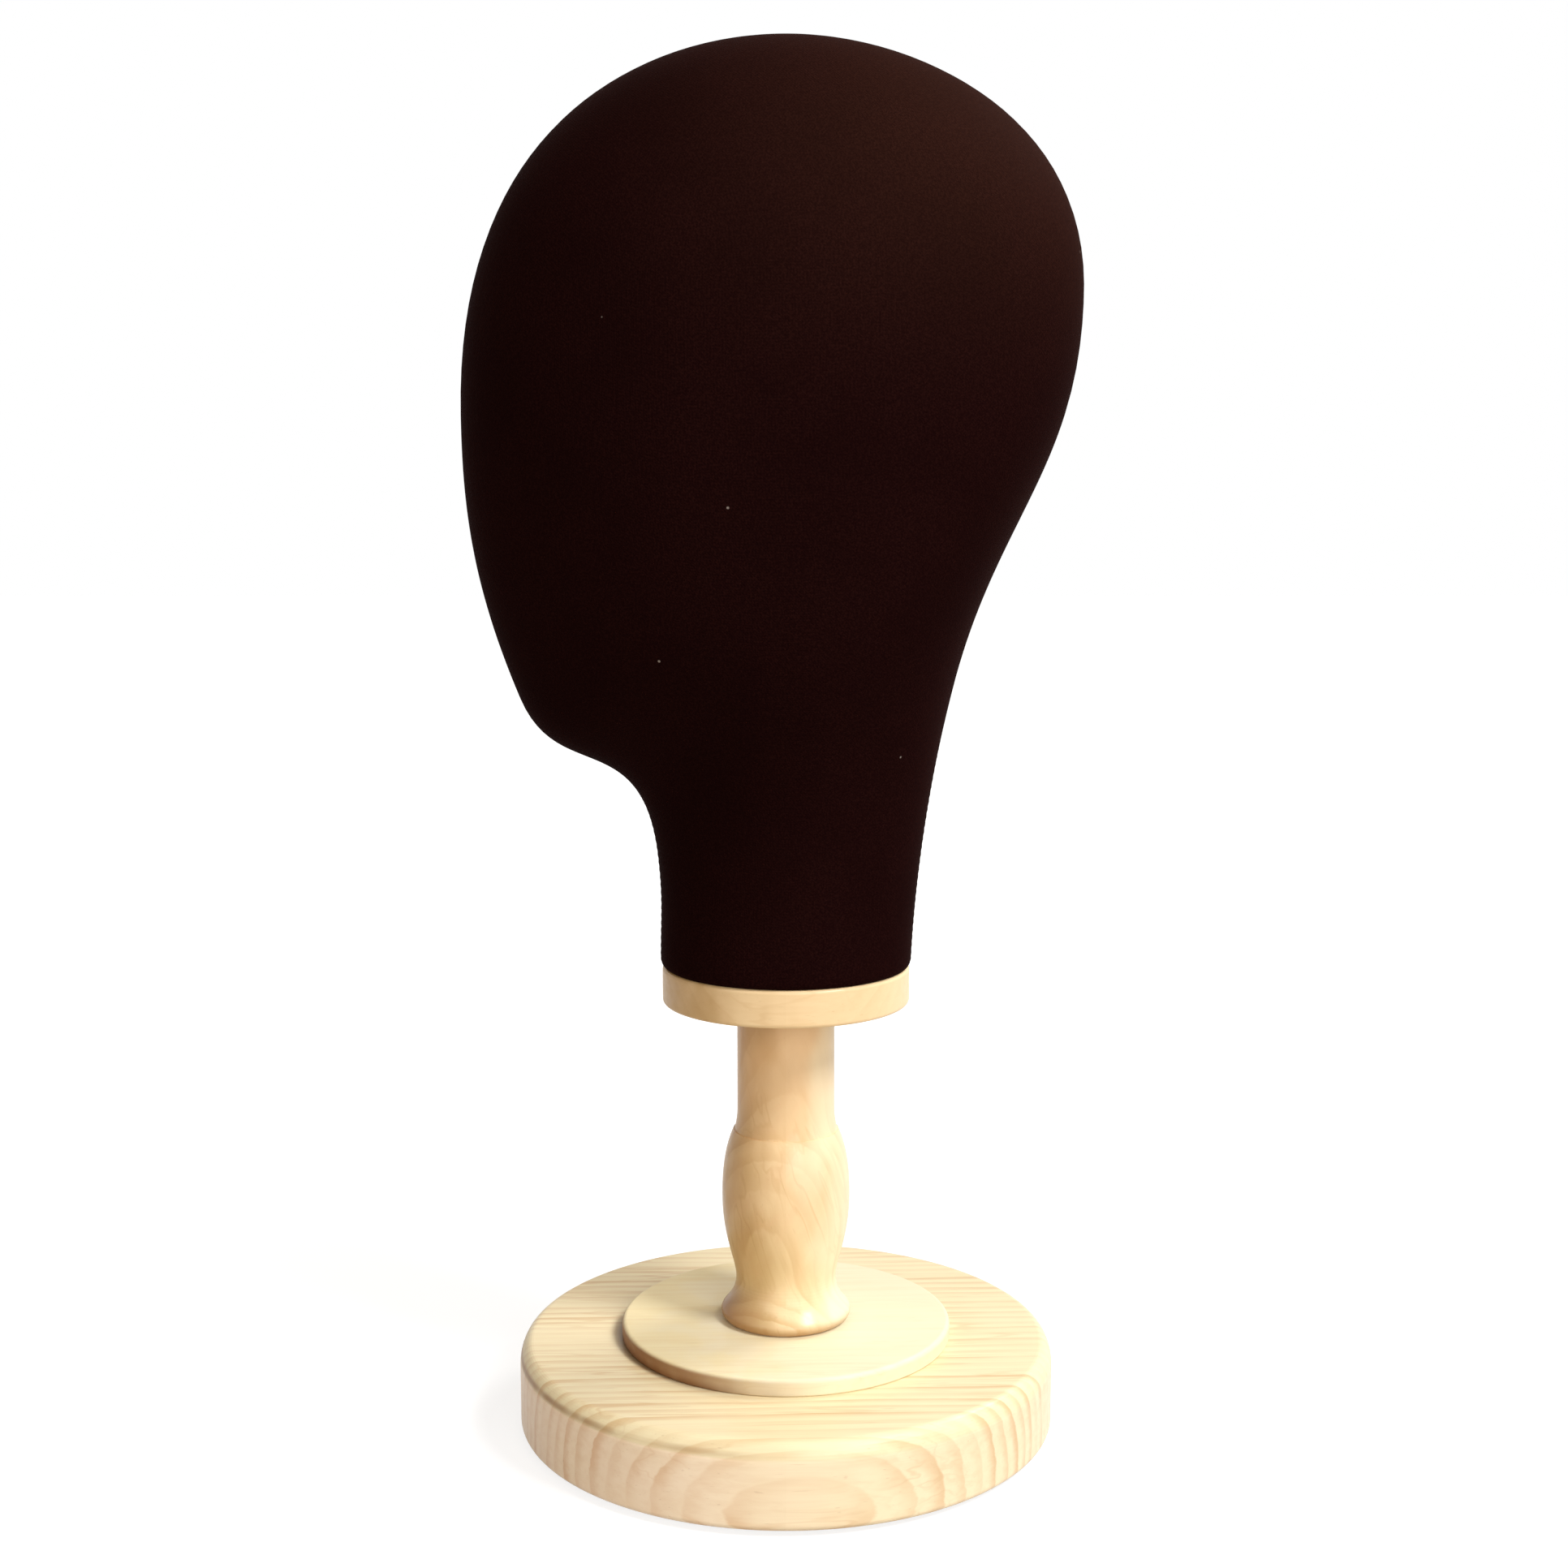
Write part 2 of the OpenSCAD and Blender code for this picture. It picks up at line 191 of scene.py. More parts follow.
# Material helpers
class Tree:
    """The node tree of a new material, with one shader that ends it."""

    def __init__(self, name):
        self.material = bpy.data.materials.new(name)
        self.material.use_nodes = True
        self.tree = self.material.node_tree
        self.tree.nodes.clear()

    def add(self, kind, inputs=None, **settings):
        """A node with its settings. An input is a value, or a socket to link."""
        node = self.tree.nodes.new("ShaderNode" + kind)
        for name, value in settings.items():
            setattr(node, name, value)
        for name, value in (inputs or {}).items():
            if isinstance(value, bpy.types.NodeSocket):
                self.tree.links.new(value, node.inputs[name])
            else:
                node.inputs[name].default_value = value
        return node

    def math(self, operation, a, b=0.0):
        return self.add("Math", {0: a, 1: b}, operation=operation).outputs[0]

    def product(self, *values):
        found = values[0]
        for value in values[1:]:
            found = self.math("MULTIPLY", found, value)
        return found

    def place(self):
        return self.add("TexCoord").outputs["Object"]

    def normal(self):
        return self.add("TexCoord").outputs["Normal"]

    def axes(self, vector):
        return self.add("SeparateXYZ", {0: vector}).outputs

    def scaled(self, vector, by):
        return self.add("VectorMath", {0: vector, 1: by}, operation="MULTIPLY").outputs[0]

    def length(self, vector):
        return self.add("VectorMath", {0: vector}, operation="LENGTH").outputs["Value"]

    def turned(self, vector, turn, at=(0, 0, 0)):
        """vector as seen from axes that are turned, and moved to a place."""
        inputs = {"Vector": vector, "Location": at, "Rotation": turn}
        return self.add("Mapping", inputs, vector_type="TEXTURE").outputs[0]

    def noise(self, vector, scale, detail=2.0, roughness=0.5):
        inputs = {"Vector": vector, "Scale": scale, "Detail": detail, "Roughness": roughness}
        return self.add("TexNoise", inputs).outputs["Fac"]

    def span(self, value, low, high, to_low=0.0, to_high=1.0):
        """value taken smoothly from one range to another, and held at its ends."""
        inputs = {0: value, 1: low, 2: high, 3: to_low, 4: to_high}
        return self.add("MapRange", inputs, interpolation_type="SMOOTHSTEP").outputs[0]

    def mix(self, share, a, b, blend="MIX"):
        """Two colours mixed. A colour is a socket, or its red, green and blue."""
        a, b = (c if isinstance(c, bpy.types.NodeSocket) else rgba(*c) for c in (a, b))
        node = self.add("Mix", {0: share, 6: a, 7: b}, data_type="RGBA", blend_type=blend)
        return node.outputs[2]

    def bump(self, height, strength, depth):
        inputs = {"Height": height, "Strength": strength, "Distance": depth}
        return self.add("Bump", inputs).outputs["Normal"]

    def finish(self, **inputs):
        shader = self.add("BsdfPrincipled", {n.replace("_", " "): v for n, v in inputs.items()})
        end = self.add("OutputMaterial", {"Surface": shader.outputs[0]})
        end.is_active_output = True
        return self.material


def rgba(red, green, blue):
    return (red, green, blue, 1.0)


def shaded(colour, by):
    """A colour made darker or lighter, and never more than white."""
    return tuple(min(1.0, by * channel) for channel in colour)


# Wood
GRAIN_ALONG_Y = (math.radians(-90), 0, math.radians(2))
GRAIN_ALONG_Z = (math.radians(3), math.radians(-2), 0)
GRAIN_ASLANT = (math.radians(18), math.radians(12), 0)
FIGURE_ASLANT = (math.radians(-35), 0, 0)
RING_SWAY = 2.0
RING_FRAY = 0.25


def wood(name, pith, turn, ring, light, dark, rings, lines, coat=0.2, paint=None):
    """Varnished wood with growth rings round a pith line, fibres along it, and short pores."""
    tree = Tree(name)
    place = tree.place()
    log = tree.turned(place, turn, pith)

    def figure(drawn, scale, detail, roughness=0.5):
        """Noise drawn out along the grain."""
        return tree.noise(tree.scaled(log, (1, 1, drawn)), scale, detail, roughness)

    sway = figure(0.3, 24, 3.0)
    streak = figure(0.04, 420, 3.0, 0.6)
    patch = figure(0.4, 40, 3.0)
    comb = figure(0.09, 150, 2.0)
    pore = figure(0.06, 1400, 1.0)

    # Growth rings, darkest at the end of each year, in some years and places more than in others
    phase = tree.math("DIVIDE", tree.length(tree.scaled(log, (1, 1, 0))), ring)
    phase = tree.math("ADD", phase, tree.product(sway, RING_SWAY))
    phase = tree.math("ADD", phase, tree.product(streak, RING_FRAY))
    growth = tree.math("FRACT", phase)
    number = tree.math("FLOOR", phase)
    year = tree.add("TexWhiteNoise", {"W": number}, noise_dimensions="1D").outputs["Value"]
    late = tree.product(
        tree.span(growth, 0.25, 0.9),
        tree.span(growth, 1.0, 0.9),
        tree.span(year, 0, 1, 0.3, 1),
        tree.span(patch, 0.30, 0.65, 0.2, 1),
        rings,
    )
    tone = tree.mix(late, light, dark)

    # Thin lines where the surface runs along the fibres, not on end grain
    endwise = tree.math("ABSOLUTE", tree.axes(tree.turned(tree.normal(), turn))["Z"])
    off_ridge = tree.math("ABSOLUTE", tree.math("SUBTRACT", comb, 0.5))
    ridge = tree.product(
        tree.span(off_ridge, 0.035, 0.004),
        tree.span(patch, 0.40, 0.62, 0.1, 1),
        tree.span(endwise, 0.75, 0.25),
        lines,
    )
    tone = tree.mix(ridge, tone, dark)

    # Fibre streaks, pores and paler patches
    tone = tree.mix(tree.span(streak, 0.35, 0.75, 0.0, 0.14), tone, dark)
    pores = tree.span(pore, 0.68, 0.80, 0.0, 0.22)
    tone = tree.mix(pores, tone, shaded(dark, 0.7))
    tone = tree.mix(tree.span(patch, 0.48, 0.75, 0.0, 0.3), tone, shaded(light, 1.06))
    if paint:
        tone = paint(tree, place, tone)

    relief = tree.math("SUBTRACT", tree.product(streak, 0.6), pores)
    return tree.finish(
        Base_Color=tone,
        Roughness=tree.span(streak, 0.3, 0.7, 0.40, 0.50),
        Normal=tree.bump(relief, 0.2, 0.06 * MM),
        Coat_Weight=coat,
        Coat_Roughness=0.2,
        Specular_IOR_Level=0.25,
    )


def rim_shade_paint(reach, wall_top, tint, bright_side, line_z, line_w, line, most):
    """A wall tint below a height, part tone and part painted shade, and a painted shade line,
    deepest on -Y.
    """
    def paint(tree, place, tone):
        axes = tree.axes(place)
        cloud = tree.noise(place, 30, 3.0)
        # Wall tint: the wall's own tone, and painted shade where it is strongest on the -Y side
        wall = tree.product(
            tree.span(axes["Z"], wall_top + 0.6 * MM, wall_top - 0.6 * MM),
            tree.span(axes["Y"], 0.35 * reach, -0.75 * reach, bright_side, 1),
            tree.span(cloud, 0.3, 0.7, 0.75, 1),
        )
        tone = tree.mix(wall, tone, tint, "MULTIPLY")
        off_line = tree.math("ABSOLUTE", tree.math("SUBTRACT", axes["Z"], line_z))
        # Painted shade: an uneven dark line at a height, deepest on the -Y side
        shade_line = tree.product(
            tree.span(off_line, line_w, 0.1 * line_w),
            tree.span(cloud, 0.40, 0.58, 0.2, most),
            tree.span(axes["Y"], 0.25 * reach, -0.9 * reach),
        )
        return tree.mix(shade_line, tone, line)
    return paint


def layered(*paints):
    """Paints laid one over another, the lowest first."""
    def paint(tree, place, tone):
        for layer in paints:
            tone = layer(tree, place, tone)
        return tone
    return paint


def joint_shadow_paint(reach, width, line):
    """Painted shadow in the joint round a smaller disc, most of it on the -Y side."""
    def paint(tree, place, tone):
        out = tree.length(tree.scaled(place, (1, 1, 0)))
        share = tree.product(
            tree.span(out, reach + width, reach),
            tree.span(tree.axes(place)["Y"], -0.1 * reach, -reach, 0.0, 0.75),
        )
        return tree.mix(share, tone, line)
    return paint


def side_light_and_shade_paint(reach, shade_tint, lit_tone):
    """Painted shade on the -Y side and painted light, a paler tone, on the +Y side, with an
    uneven border.
    """
    def paint(tree, place, tone):
        cloud = tree.noise(tree.scaled(place, (1, 1, 0.5)), 60, 2.0)
        drift = tree.span(cloud, 0.3, 0.7, -0.3, 0.3)
        across = tree.math("ADD", tree.math("DIVIDE", tree.axes(place)["Y"], reach), drift)
        # Painted shade, darker towards the -Y side
        tone = tree.mix(tree.span(across, 0.1, -0.8), tone, shade_tint, "MULTIPLY")
        # Painted light, paler towards the +Y side
        return tree.mix(tree.span(across, 0.15, 0.9, 0.0, 0.5), tone, lit_tone)
    return paint


def figure_and_shade_paint(foot, figure):
    """Slanting figure over the post, and more of its colour towards the top: tone and painted
    shadow.
    """
    def paint(tree, place, tone):
        slant = tree.turned(place, FIGURE_ASLANT)
        flame = tree.noise(tree.scaled(slant, (1, 1, 0.35)), 130, 3.0, 0.6)
        tone = tree.mix(tree.span(flame, 0.42, 0.70, 0.0, 0.45), tone, figure)
        # Painted shadow under the neck plate, together with the upper post's rosier tone
        upper = tree.span(tree.axes(place)["Z"], foot + 50 * MM, foot + 85 * MM, 0.0, 0.5)
        return tree.mix(upper, tone, figure)
    return paint


def foot_light_and_shade_paint(foot, tint, line):
    """Painted light on a paler foot, and painted shade on its -Y side and round its lower edge.
    """
    def paint(tree, place, tone):
        axes = tree.axes(place)
        # Painted light: the foot paler, where it catches the light
        lower = tree.span(axes["Z"], foot + 48 * MM, foot + 14 * MM, 0.0, 0.75)
        tone = tree.mix(lower, tone, tint, "MULTIPLY")
        # Painted shade on the foot's -Y side
        side_shade = tree.product(
            tree.span(axes["Y"], 0, -22 * MM),
            tree.span(axes["Z"], foot + 16 * MM, foot + 3 * MM, 0.0, 0.95),
        )
        tone = tree.mix(side_shade, tone, line)
        # Painted contact shade round the foot's lower edge
        edge = tree.span(axes["Z"], foot + 4.5 * MM, foot + 0.5 * MM, 0.0, 0.7)
        return tree.mix(edge, tone, line)
    return paint


# Fabric, felt and small parts
# Painted highlight over the crown's back: its heights, sideways reach and share
HIGHLIGHT_Z = (0.31, 0.41)
HIGHLIGHT_Y = (-0.07, 0.06)
HIGHLIGHT_SHARE = 0.5
LINT_CELLS = 200.0
LINT_RARE = (0.992, 0.993)
LINT_TONE = (0.35, 0.30, 0.27)


def knit(name, colour, fuzz, highlight_tone, pitch):
    """Fine stretch knit of loops, with lint, and a painted highlight: paler over the crown's
    back.
    """
    tree = Tree(name)
    place = tree.place()
    turns = tree.scaled(place, (2 * math.pi / pitch,) * 3)
    axes = tree.axes(turns)
    loops = 0.0
    for one, other in (("X", "Y"), ("Y", "Z"), ("Z", "X")):
        wave = tree.product(tree.math("SINE", axes[one]), tree.math("COSINE", axes[other]))
        loops = tree.math("ADD", loops, wave)
    tooth = tree.noise(place, 1600, 2.0, 0.6)
    cloud = tree.noise(place, 28, 3.0)
    lift = tree.span(loops, -1.2, 1.2)
    tone = tree.mix(tree.span(tooth, 0.35, 0.75, 0.0, 0.6), colour, fuzz)
    tone = tree.mix(tree.span(cloud, 0.35, 0.7, 0.0, 0.35), tone, shaded(colour, 0.7))
    # Painted highlight: a paler tone over the crown's back
    spot = tree.axes(place)
    pulled = tree.product(
        tree.span(spot["Z"], *HIGHLIGHT_Z),
        tree.span(spot["Y"], *HIGHLIGHT_Y, 0.0, HIGHLIGHT_SHARE),
        tree.span(tooth, 0.3, 0.7, 0.6, 1),
    )
    tone = tree.mix(pulled, tone, highlight_tone)
    lint = tree.add("TexVoronoi", {"Vector": place, "Scale": LINT_CELLS}).outputs
    draw = tree.add("SeparateColor", {0: lint["Color"]}).outputs[0]
    speck = tree.product(
        tree.span(draw, *LINT_RARE),
        tree.span(lint["Distance"], 0.10, 0.05, 0.0, 0.6),
    )
    tone = tree.mix(speck, tone, LINT_TONE)
    relief = tree.math("ADD", lift, tree.product(tooth, 0.8))
    return tree.finish(
        Base_Color=tone,
        Roughness=0.6,
        Normal=tree.bump(relief, 0.35, 0.15 * MM),
        Specular_IOR_Level=0.001,
        Specular_Tint=rgba(1.0, 0.6, 0.45),
        Sheen_Weight=0.007,
        Sheen_Roughness=0.4,
        Sheen_Tint=rgba(1.0, 0.42, 0.30),
    )


def felt(name, colour, fibre):
    """Pressed felt: matted fibres, with darker clumps."""
    tree = Tree(name)
    place = tree.place()
    matted = tree.noise(place, 900, 4.0, 0.7)
    clumps = tree.noise(place, 120, 3.0)
    tone = tree.mix(tree.span(matted, 0.35, 0.7), colour, fibre)
    tone = tree.mix(tree.span(clumps, 0.4, 0.7, 0.0, 0.4), tone, shaded(colour, 0.6))
    return tree.finish(
        Base_Color=tone,
        Roughness=0.95,
        Normal=tree.bump(matted, 0.6, 0.3 * MM),
        Specular_IOR_Level=0.15,
        Sheen_Weight=0.2,
        Sheen_Roughness=0.6,
    )


def metal(name, colour, dull, roughness):
    """Plated or turned metal, a little cloudy, with fine tool marks round its axis."""
    tree = Tree(name)
    place = tree.place()
    cloud = tree.noise(place, 220, 3.0)
    marks = tree.noise(tree.scaled(place, (1, 1, 30)), 160, 2.0)
    tone = tree.mix(tree.span(cloud, 0.35, 0.7), colour, dull)
    return tree.finish(
        Base_Color=tone,
        Metallic=1.0,
        Roughness=tree.span(marks, 0.3, 0.7, roughness - 0.06, roughness + 0.08),
        Normal=tree.bump(marks, 0.12, 0.03 * MM),
    )


def moulded(name, colour, shade, roughness, grain):
    """Plain moulded or foamed material with a fine grain."""
    tree = Tree(name)
    place = tree.place()
    cells = tree.noise(place, grain, 2.0)
    cloud = tree.noise(place, 60, 2.0)
    tone = tree.mix(tree.span(cloud, 0.35, 0.7, 0.0, 0.6), colour, shade)
    return tree.finish(
        Base_Color=tone,
        Roughness=tree.span(cells, 0.3, 0.7, roughness - 0.05, roughness + 0.08),
        Normal=tree.bump(cells, 0.25, 0.1 * MM),
        Specular_IOR_Level=0.35,
    )


# Materials of the pieces. The wood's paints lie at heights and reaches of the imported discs.
BASE_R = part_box("base_disc")[1].x
BASE_TOP_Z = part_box("base_disc")[1].z
STEP_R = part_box("step_disc")[1].x
STEP_BOTTOM_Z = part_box("step_disc")[0].z
STEP_TOP_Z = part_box("step_disc")[1].z

CREAM = (0.91, 0.80, 0.53)
IVORY = (0.91, 0.84, 0.62)
BUFF = (0.85, 0.67, 0.41)
PALE = (0.84, 0.63, 0.37)
HONEY = (0.66, 0.42, 0.19)
ROSY = (0.80, 0.54, 0.31)
# Painted shade, for a line on the base rim and on the post's foot
SHADE_BROWN = (0.34, 0.17, 0.06)
# Painted shadow, for the step disc's foot and the joint round it
SHADOW_UMBER = (0.16, 0.060, 0.012)
# The rim's pinker tone, which on the -Y side also stands in for shade
BLUSH_AND_SHADE_TINT = (1.10, 1.03, 1.22)
# The step wall's stain, which on the -Y side also stands in for shade
TAN_STAIN_AND_SHADE_TINT = (0.26, 0.11, 0.045)
# Painted light for the post's foot
FOOT_LIGHT_TINT = (1.05, 1.14, 1.22)
# Painted shade for the -Y side: of the post and plate, then of the step disc
SIDE_SHADE_TINT = (0.74, 0.66, 0.53)
STEP_SIDE_SHADE_TINT = (0.99, 0.94, 0.79)

base_wood = wood(
    "base_wood",
    pith=(118 * MM, 0, 4 * MM),
    turn=GRAIN_ALONG_Y,
    ring=4.5 * MM,
    light=CREAM,
    dark=HONEY,
    rings=0.85,
    lines=0.5,
    paint=layered(
        # Base rim: a pinker wall, partly painted shade on the -Y side, and a painted shade line
        # at the top edge
        rim_shade_paint(
            BASE_R,
            wall_top=BASE_TOP_Z - 5 * MM,
            tint=BLUSH_AND_SHADE_TINT,
            bright_side=0.35,
            line_z=BASE_TOP_Z - 3.8 * MM,
            line_w=1.6 * MM,
            line=SHADE_BROWN,
            most=0.85,
        ),
        # Painted shadow of the step disc on the base's top, on the -Y side
        joint_shadow_paint(STEP_R, width=2.6 * MM, line=SHADOW_UMBER),
    ),
)
step_wood = wood(
    "step_wood",
    pith=(-160 * MM, 0, 110 * MM),
    turn=GRAIN_ALONG_Y,
    ring=6 * MM,
    light=IVORY,
    dark=HONEY,
    rings=0.07,
    lines=0.12,
    coat=0.0,
    paint=layered(
        # Painted shade on the step disc's -Y side, painted light on its +Y side
        side_light_and_shade_paint(STEP_R, shade_tint=STEP_SIDE_SHADE_TINT, lit_tone=IVORY),
        # Step wall: tan, stain and painted shade on the -Y side, with a painted contact shadow at
        # its foot
        rim_shade_paint(
            STEP_R,
            wall_top=STEP_TOP_Z - 0.6 * MM,
            tint=TAN_STAIN_AND_SHADE_TINT,
            bright_side=0.1,
            line_z=STEP_BOTTOM_Z,
            line_w=3 * MM,
            line=SHADOW_UMBER,
            most=0.9,
        ),
    ),
)
post_wood = wood(
    "post_wood",
    pith=(-26 * MM, 10 * MM, 84 * MM),
    turn=GRAIN_ASLANT,
    ring=4 * MM,
    light=PALE,
    dark=HONEY,
    rings=0.9,
    lines=0.6,
    coat=0.30,
    paint=layered(
        # Painted shadow under the neck plate, with the post's slanting figure
        figure_and_shade_paint(STEP_TOP_Z, figure=ROSY),
        # Painted shade on the post's -Y side, painted light on its +Y side
        side_light_and_shade_paint(18 * MM, shade_tint=SIDE_SHADE_TINT, lit_tone=IVORY),
        # Painted light on the foot, and painted shade on its -Y side and lower edge
        foot_light_and_shade_paint(STEP_TOP_Z, tint=FOOT_LIGHT_TINT, line=SHADE_BROWN),
    ),
)
plate_wood = wood(
    "plate_wood",
    pith=(-90 * MM, 0, 60 * MM),
    turn=GRAIN_ALONG_Y,
    ring=4 * MM,
    light=PALE,
    dark=HONEY,
    rings=0.3,
    lines=0.35,
    # Painted shade on the plate's -Y side, painted light on its +Y side
    paint=side_light_and_shade_paint(NECK_R, shade_tint=SIDE_SHADE_TINT, lit_tone=BUFF),
)
hidden_wood = wood(
    "hidden_wood",
    pith=(30 * MM, 12 * MM, 0),
    turn=GRAIN_ALONG_Z,
    ring=3 * MM,
    light=CREAM,
    dark=HONEY,
    rings=0.3,
    lines=0.2,
)
steel = metal("zinc_steel", (0.62, 0.63, 0.65), (0.45, 0.46, 0.48), 0.38)
brass = metal("brass", (0.72, 0.52, 0.22), (0.55, 0.38, 0.15), 0.34)
nylon = moulded("nylon", (0.82, 0.81, 0.76), (0.72, 0.70, 0.64), 0.5, 700)
foam = moulded("core_foam", (0.80, 0.77, 0.70), (0.68, 0.64, 0.56), 0.85, 450)
cover_knit = knit(
    "cover_knit",
    colour=(0.0080, 0.0020, 0.0021),
    fuzz=(0.019, 0.0052, 0.0044),
    highlight_tone=(0.036, 0.0135, 0.0085),
    pitch=0.9 * MM,
)
felt_brown = felt("felt_brown", (0.055, 0.036, 0.026), (0.095, 0.066, 0.048))

NODE_MATERIALS = {
    "base_disc": base_wood,
    "step_disc": step_wood,
    "post": post_wood,
    "neck_plate": plate_wood,
    "neck_plug": hidden_wood,
    "pivot_peg": hidden_wood,
    "base_bolt": steel,
    "base_washer": steel,
    "neck_screws": steel,
    "post_insert": brass,
    "swivel_washer": nylon,
    "head_core": foam,
}
for node, material in NODE_MATERIALS.items():
    for material_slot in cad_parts[node].material_slots:
        material_slot.material = material


# Fabric cover: an outer and an inner wall that meet at the hem under the neck
def make_cover():
    sides = HEAD_SIDES
    walls = []
    for inset in (0.0, COVER_T):
        walls.append([round_ring(HEM_R, inset)] + head_rings(inset))
    count = len(walls[0])
    tips = [(0, 0, NECK_Z + HEAD_H), (0, 0, NECK_Z + HEAD_H - COVER_T)]
    points = []
    faces = []
    starts = []
    for wall, tip, outward in zip(walls, tips, (True, False)):
        first = len(points)
        starts.append(first)
        points += [p for ring in wall for p in ring] + [tip]
        last = first + (count - 1) * sides
        made = ring_faces(count, sides, first)
        made += [(last + k, last + (k + 1) % sides, first + count * sides) for k in range(sides)]
        faces += made if outward else [face[::-1] for face in made]
    outer, inner = starts
    for k in range(sides):
        m = (k + 1) % sides
        faces.append((outer + m, outer + k, inner + k, inner + m))
    piece = new_piece("head_knit", points, faces, "head", cover_knit)
    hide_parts("head_cover")
    return piece


# Seam where the cover's two side panels are sewn together, round the head's profile
# A lip is half the seam's section, as distances from its middle and heights in millimetres.
SEAM_STEP = 0.6 * MM
STITCH = 2.4 * MM
STITCH_PULL = 0.25
SEAM_LIP = [(1.3, -0.08), (0.9, 0.16), (0.35, 0.24), (0.05, -0.02)]


def seam_path():
    """Evenly spaced points of the profile, from the throat's hem over the crown to the nape's."""
    front = outline(FRONT_KNOTS, [TABLE_STEPS] * 5)
    back = outline(BACK_KNOTS, [TABLE_STEPS] * 4)
    profile = np.concatenate([front * (-1, 1), back[-2::-1]])
    gone = np.concatenate([[0], np.cumsum(np.linalg.norm(np.diff(profile, axis=0), axis=1))])
    at = np.linspace(0, gone[-1], int(gone[-1] / SEAM_STEP))
    return at, np.stack([np.interp(at, gone, profile[:, axis]) for axis in (0, 1)], 1)


def make_seam():
    left = [(-x * MM, h * MM) for x, h in SEAM_LIP]
    across = left + [(-x, h) for x, h in left[::-1]]
    gone, path = seam_path()
    along = np.gradient(path, axis=0)
    along /= np.linalg.norm(along, axis=1)[:, None]
    points = []
    for distance, (y, z), (dy, dz) in zip(gone, path, along):
        pulled = 1 - STITCH_PULL + STITCH_PULL * math.cos(2 * math.pi * distance / STITCH)
        for x, h in across:
            lift = h * pulled if h > 0 else h
            points.append((x, y - dz * lift, NECK_Z + z + dy * lift))
    wide = len(across)
    faces = []
    for i in range(len(path) - 1):
        for k in range(wide - 1):
            a = i * wide + k
            faces.append((a, a + 1, a + 1 + wide, a + wide))
    return new_piece("head_seam", points, faces, "head", cover_knit)


cover = make_cover()
seam = make_seam()

# Felt disc under the base, with a soft, slightly uneven cut edge
FELT_SIDES = 144
FELT_UNEVEN = 0.25 * MM
FELT_WAVES = 9
FELT_LAYERS = 4


def make_felt():
    low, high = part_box("base_felt")
    radius = high.x
    thick = high.z - low.z
    profile = [
        (0.25 * radius, 0),
        (0.8 * radius, 0),
        (radius - 0.5 * MM, 0),
        (radius, 0.3 * thick),
        (radius, 0.7 * thick),
        (radius - 0.4 * MM, thick),
        (0.8 * radius, thick),
        (0.25 * radius, thick),
    ]
    points = []
    for r, z in profile:
        for k in range(FELT_SIDES):
            turn = 2 * math.pi * k / FELT_SIDES
            way = Vector((math.cos(turn), math.sin(turn), 0))
            layer = Vector((0, 0, FELT_LAYERS * z / thick))
            reach = r - FELT_UNEVEN * abs(noise.noise(FELT_WAVES * way + layer))
            points.append((reach * way.x, reach * way.y, low.z + z))
    faces = ring_faces(len(profile), FELT_SIDES, 0)
    last = (len(profile) - 1) * FELT_SIDES
    faces.append(tuple(range(FELT_SIDES))[::-1])
    faces.append(tuple(last + k for k in range(FELT_SIDES)))
    piece = new_piece("felt_pad", points, faces, "stand", felt_brown)
    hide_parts("base_felt")


make_felt()


# Floor, world, lamps and camera
def background_rays(tree):
    """1 for rays that should see a white background, and 0 for those that light the object."""
    path = tree.nodes.new("ShaderNodeLightPath")
    seen = path.outputs["Is Camera Ray"]
    for name in ("Is Glossy Ray", "Is Transmission Ray"):
        most = tree.nodes.new("ShaderNodeMath")
        most.operation = "MAXIMUM"
        tree.links.new(seen, most.inputs[0])
        tree.links.new(path.outputs[name], most.inputs[1])
        seen = most.outputs[0]
    return seen


# What the camera sees of the floor is a white glow plus a grey that the lamps light.
# The glow is weaker near the object, so that its shadow shows there.
FLOOR_SIZE = 12.0
FLOOR_Z = -0.2 * MM
FLOOR_LIT = (0.45, 0.41, 0.36)
FLOOR_SHADE = (0.345, 0.350, 0.360)
GLOW_DISTANCES = (0.15, 0.6)
GLOW_LEVELS = (0.80, 1.0)


def make_floor():
    half = FLOOR_SIZE / 2
    mesh = bpy.data.meshes.new("floor")
    corners = [(-half, -half), (half, -half), (half, half), (-half, half)]
    mesh.from_pydata([(x, y, FLOOR_Z) for x, y in corners], [], [(0, 1, 2, 3)])
    floor = bpy.data.objects.new("floor", mesh)
    bpy.context.scene.collection.objects.link(floor)
    tree = Tree("pale_floor")
    lit = tree.add("BsdfDiffuse", {"Color": rgba(*FLOOR_LIT)})
    shade = tree.add("BsdfDiffuse", {"Color": rgba(*FLOOR_SHADE)})
    glow = tree.span(tree.length(tree.place()), *GLOW_DISTANCES, *GLOW_LEVELS)
    white = tree.add("Emission", {"Color": rgba(1, 1, 1), "Strength": glow})
    shown = tree.add("AddShader", {0: shade.outputs[0], 1: white.outputs[0]})
    seen = background_rays(tree.tree)
    both = tree.add("MixShader", {0: seen, 1: lit.outputs[0], 2: shown.outputs[0]})
    tree.add("OutputMaterial", {"Surface": both.outputs[0]})
    mesh.materials.append(tree.material)


WORLD_TONE = (1, 0.80, 0.58)
WORLD_LEVEL = 0.22


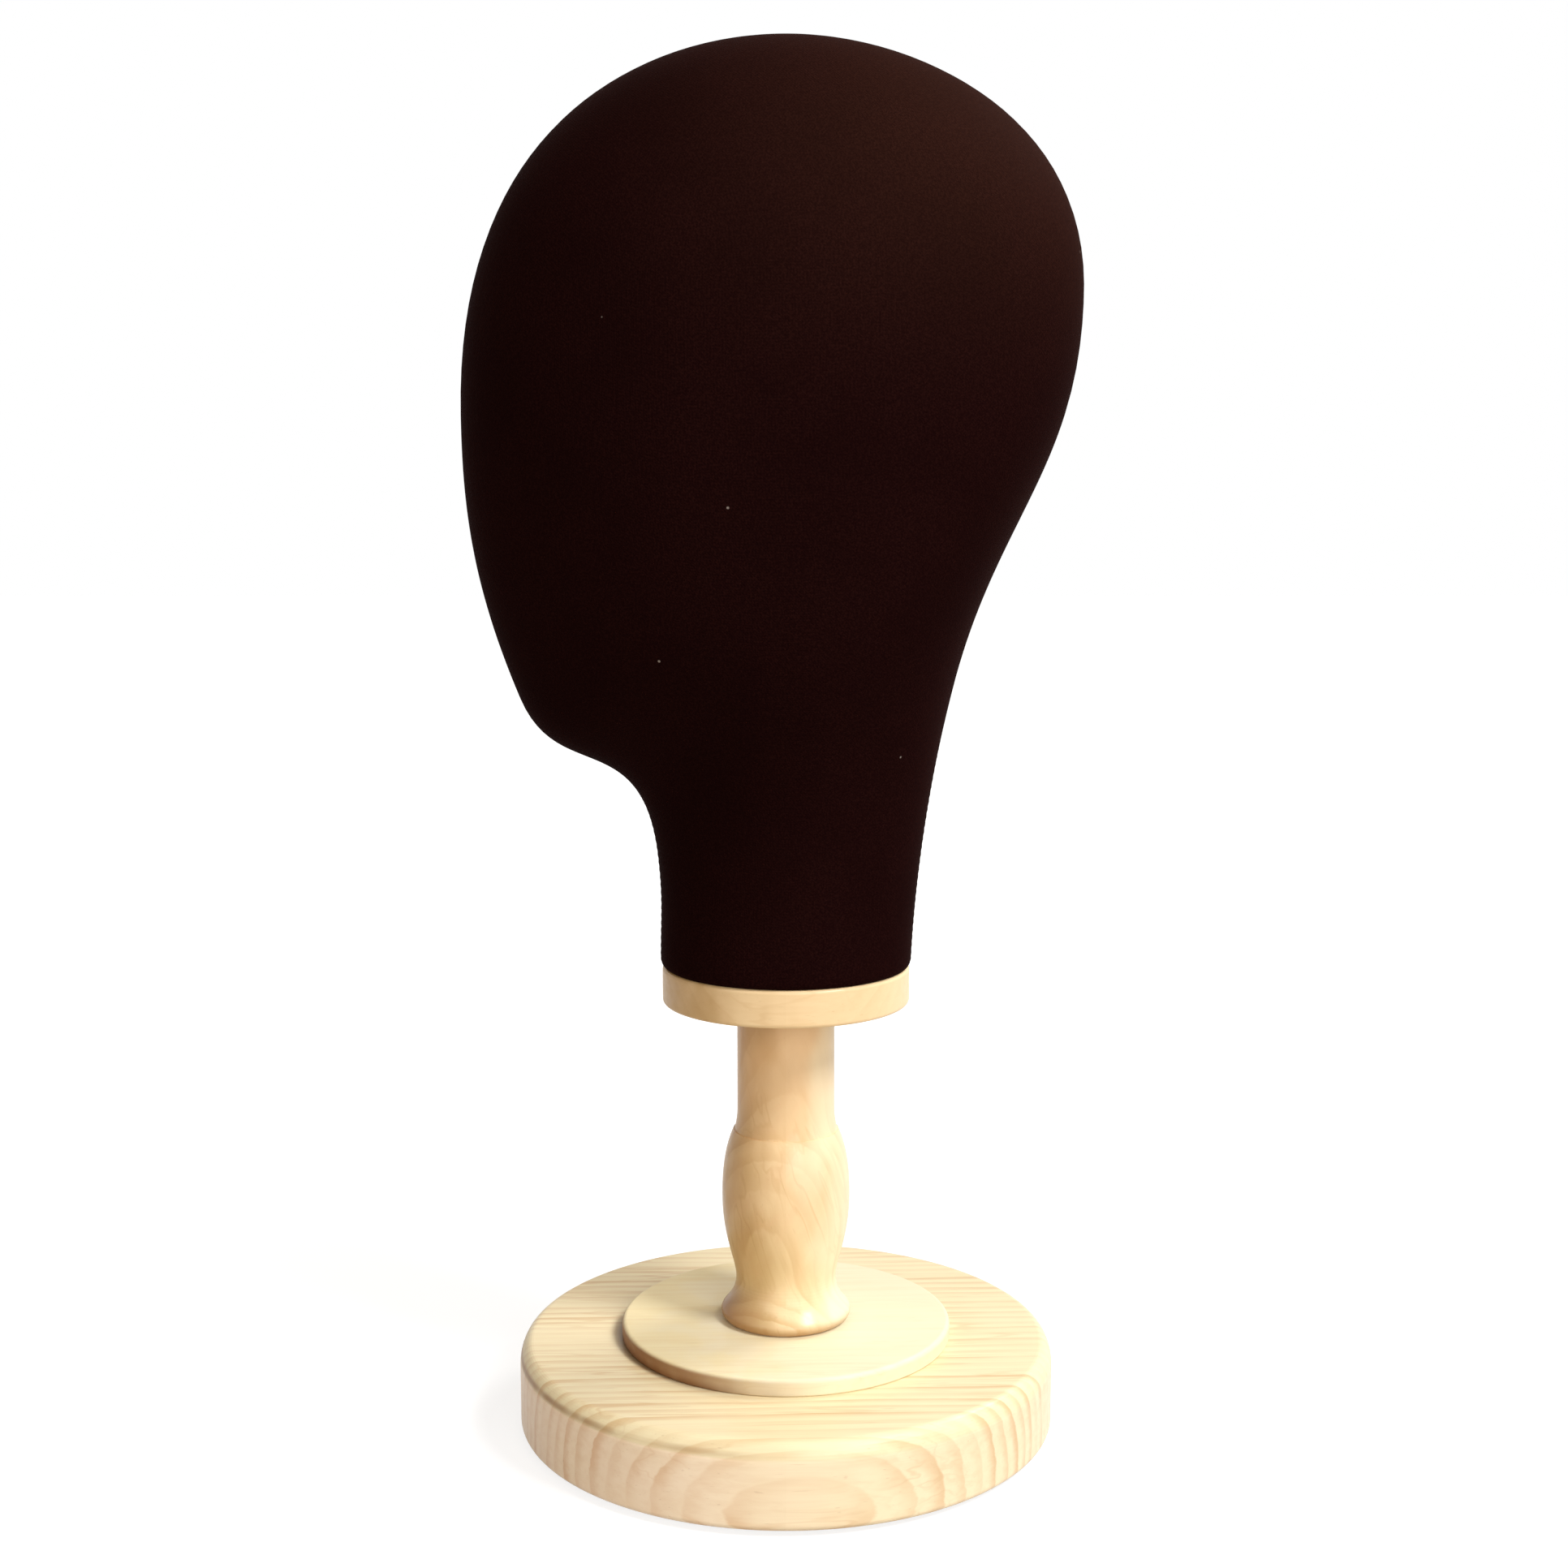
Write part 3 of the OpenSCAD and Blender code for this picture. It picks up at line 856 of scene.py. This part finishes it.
def make_world():
    world = bpy.data.worlds.new("studio")
    world.use_nodes = True
    tree = world.node_tree
    tree.nodes.clear()
    light = tree.nodes.new("ShaderNodeBackground")
    light.inputs["Color"].default_value = rgba(*WORLD_TONE)
    light.inputs["Strength"].default_value = WORLD_LEVEL
    white = tree.nodes.new("ShaderNodeBackground")
    white.inputs["Color"].default_value = rgba(1, 1, 1)
    both = tree.nodes.new("ShaderNodeMixShader")
    end = tree.nodes.new("ShaderNodeOutputWorld")
    tree.links.new(background_rays(tree), both.inputs[0])
    tree.links.new(light.outputs[0], both.inputs[1])
    tree.links.new(white.outputs[0], both.inputs[2])
    tree.links.new(both.outputs[0], end.inputs["Surface"])
    bpy.context.scene.world = world


LAMP_AIM = Vector((0, 0, 0.2))


def softbox(name, direction, distance, size, power, colour):
    """A square lamp that looks at the object from a direction."""
    light = bpy.data.lights.new(name, "AREA")
    light.size = size
    light.energy = power
    light.color = colour
    lamp = bpy.data.objects.new(name, light)
    away = Vector(direction).normalized()
    lamp.location = LAMP_AIM + distance * away
    lamp.rotation_euler = (-away).to_track_quat("-Z", "Y").to_euler()
    lamp.visible_camera = False
    bpy.context.scene.collection.objects.link(lamp)


def make_camera():
    lens = bpy.data.cameras.new("camera")
    lens.lens = CAMERA_LENS
    lens.sensor_width = SENSOR_W
    camera = bpy.data.objects.new("camera", lens)
    camera.location = CAMERA_AT
    camera.rotation_euler = (math.radians(90 - CAMERA_PITCH_DOWN), 0, math.radians(90))
    bpy.context.scene.collection.objects.link(camera)
    bpy.context.scene.camera = camera


make_floor()
make_world()
softbox("key", (0.44, 0.55, 0.66), distance=1.6, size=0.42, power=19.5, colour=(1.0, 1.0, 1.0))
softbox("front", (1.0, 0.35, 0.25), distance=1.8, size=0.8, power=13.2, colour=(1.0, 0.99, 0.97))
softbox("fill", (0.75, -0.85, 0.35), distance=1.8, size=1.0, power=5.0, colour=(1.0, 0.88, 0.72))
softbox("back", (-0.42, 0.60, 0.68), distance=1.6, size=0.6, power=12.3, colour=(1.0, 0.97, 0.92))
make_camera()
bpy.context.scene.view_settings.view_transform = "Standard"
